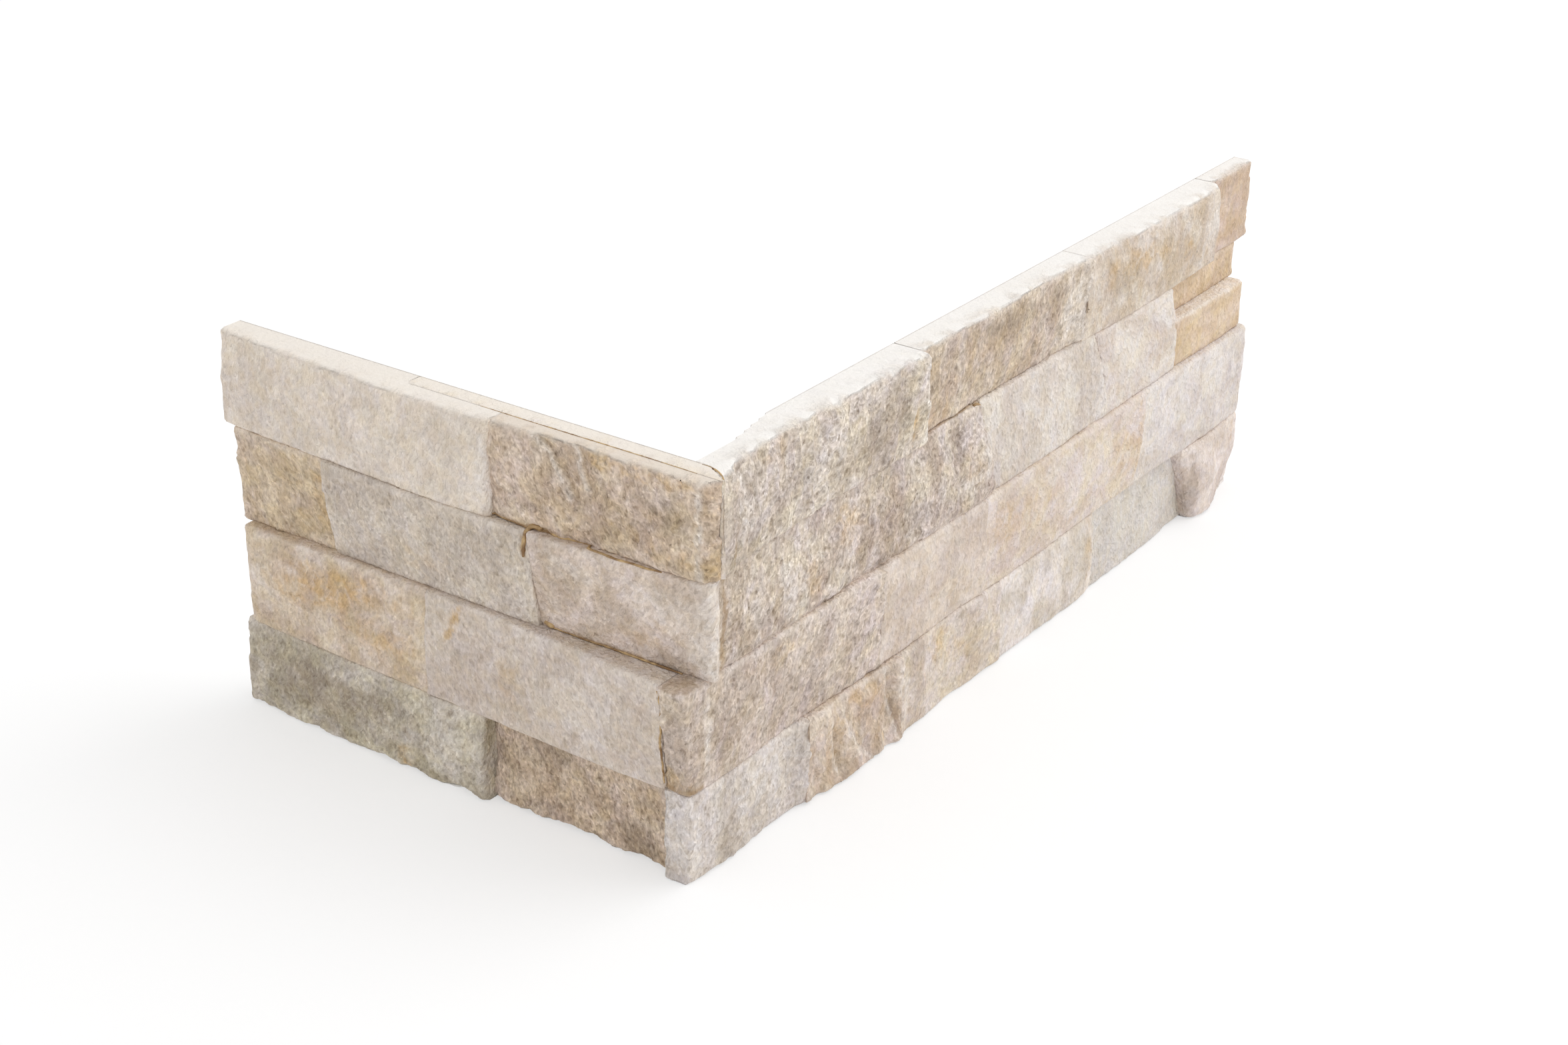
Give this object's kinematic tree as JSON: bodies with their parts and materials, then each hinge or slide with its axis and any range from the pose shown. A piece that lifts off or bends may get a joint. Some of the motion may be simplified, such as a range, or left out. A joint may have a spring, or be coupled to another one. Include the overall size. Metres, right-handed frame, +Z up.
{
  "type": "stacked stone corner cladding panel",
  "caption": "L-shaped corner panel of split-face quartzite blocks glued in staggered courses, finger-jointed at the corner, for cladding the outside corner of a wall.",
  "frame": {"origin": "outer corner of the two nominal face planes, on the bottom bed", "axes": "+X along the long leg, whose split faces look towards -Y; +Y along the short leg, whose split faces look towards -X; +Z up the wall"},
  "size_m": [0.422, 0.2255, 0.15],
  "materials": {
    "cream": "split, matt, fine crystalline",
    "pale_grey": "split, matt, fine crystalline",
    "tan": "split, matt, ochre streaks",
    "brown_grey": "split, matt, rough grain",
    "peach": "split, matt, ochre mottled",
    "green_grey": "split, matt, rust spots",
    "sawn_cream": "sawn, matt"
  },
  "bodies": {
    "root": {"base_long_corner_block": "pale_grey", "base_long_cream_block": "cream", "base_long_end_block": "cream", "base_long_grey_block": "pale_grey", "base_long_rippled_block": "tan", "base_long_tan_block": "tan", "base_short_end_block": "green_grey", "base_short_tan_block": "tan", "second_long_corner_block": "brown_grey", "second_long_end_block": "pale_grey", "second_long_peach_block": "peach", "second_long_pink_block": "cream", "second_short_cream_block": "cream", "second_short_end_block": "peach", "third_long_brown_block": "brown_grey", "third_long_cream_block": "cream", "third_long_grey_block": "pale_grey", "third_long_lower_strip": "tan", "third_long_upper_strip": "tan", "third_short_corner_block": "cream", "third_short_end_block": "tan", "third_short_grey_block": "pale_grey", "top_long_end_block": "tan", "top_long_fluted_block": "brown_grey", "top_long_pale_block": "pale_grey", "top_long_tan_block": "brown_grey", "top_short_backing_strip": "sawn_cream", "top_short_corner_block": "tan", "top_short_end_block": "cream"}
  },
  "joints": []
}
